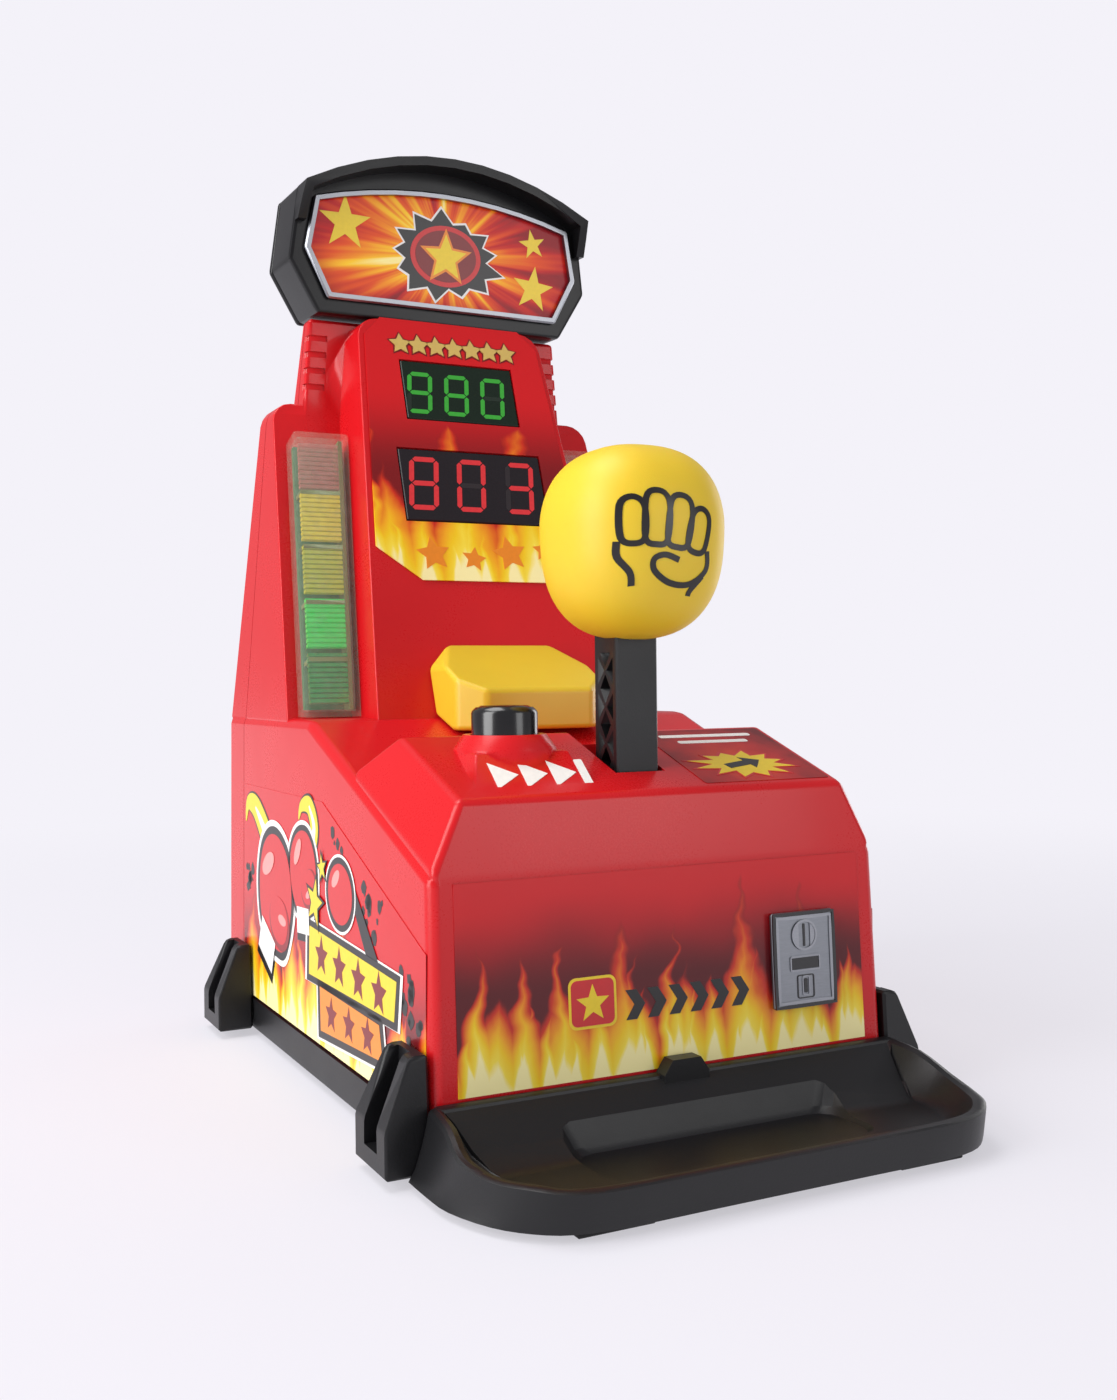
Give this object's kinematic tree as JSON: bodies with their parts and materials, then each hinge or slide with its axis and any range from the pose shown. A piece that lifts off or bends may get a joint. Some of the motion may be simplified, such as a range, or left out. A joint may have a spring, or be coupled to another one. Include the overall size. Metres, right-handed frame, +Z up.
{
  "type": "finger-punch arcade toy",
  "caption": "Tabletop punch machine: sprung ball arm in a sloping console, score displays on a leaning tower, lit side columns, arched marquee and front tray.",
  "frame": {"origin": "middle of the footprint, on the ground", "axes": "+X to the player's right, +Y away from the player, +Z up"},
  "size_m": [0.115, 0.175, 0.215],
  "materials": {
    "red_plastic": "glossy moulded",
    "black_plastic": "satin moulded",
    "rubber": "matte",
    "yellow_foam": "soft satin",
    "silver_trim": "satin",
    "steel": "plain",
    "brass": "plain",
    "printed_label": "printed film",
    "clear_lens": "clear moulded",
    "green_window": "tinted window",
    "red_window": "tinted window",
    "white_plastic": "plain",
    "circuit_board": "solder mask"
  },
  "bodies": {
    "machine": {"arm_return_spring": "steel", "base_tray": "black_plastic", "battery_1": "steel", "battery_2": "steel", "battery_3": "steel", "battery_box": "black_plastic", "battery_door": "black_plastic", "battery_door_screw": "steel", "case_screw_lower_left": "steel", "case_screw_lower_right": "steel", "case_screw_upper_left": "steel", "case_screw_upper_right": "steel", "coin_plate": "silver_trim", "deck_label": "printed_label", "display_board": "circuit_board", "foot_front_left": "rubber", "foot_front_right": "rubber", "foot_rear_left": "rubber", "foot_rear_right": "rubber", "front_label": "printed_label", "front_shell": "red_plastic", "green_digit_module": "black_plastic", "green_display_window": "green_window", "impact_sensor": "brass", "light_board_left": "circuit_board", "light_board_right": "circuit_board", "light_lens_left": "clear_lens", "light_lens_right": "clear_lens", "light_partition_left": "white_plastic", "light_partition_right": "white_plastic", "main_board": "circuit_board", "marquee_back": "black_plastic", "marquee_bezel": "silver_trim", "marquee_housing": "black_plastic", "marquee_light_board": "circuit_board", "marquee_sign": "printed_label", "pivot_bracket_left": "black_plastic", "pivot_bracket_right": "black_plastic", "pivot_shaft": "steel", "power_switch": "black_plastic", "rear_cover": "red_plastic", "red_digit_module": "black_plastic", "red_display_window": "red_window", "score_label": "printed_label", "side_clip_front_left": "black_plastic", "side_clip_front_right": "black_plastic", "side_clip_rear_left": "black_plastic", "side_clip_rear_right": "black_plastic", "side_label_left": "printed_label", "side_label_right": "printed_label", "speaker": "black_plastic", "start_button_spring": "steel", "start_switch": "black_plastic", "stop_pad": "yellow_foam"},
    "punch": {"punch_arm": "black_plastic", "punch_ball": "yellow_foam"},
    "start_button": {"start_button": "black_plastic"},
    "power_slider": {"power_slider": "black_plastic"}
  },
  "joints": [
    {"name": "punch_swing", "type": "hinge", "parent": "machine", "child": "punch", "pos_m": [0, -0.0344, 0.054], "axis": [-1, 0, 0], "range_deg": [0, 33], "stiffness_Nm_per_rad": 0.06, "springref_deg": -20.05},
    {"name": "start_press", "type": "slide", "parent": "machine", "child": "start_button", "axis": [0, 0, -1], "range_m": [0, 0.002], "stiffness_N_per_m": 180, "springref_m": -0.0005, "deforming": ["start_button_spring"]},
    {"name": "power_slide", "type": "slide", "parent": "machine", "child": "power_slider", "axis": [1, 0, 0], "range_m": [0, 0.003]}
  ]
}
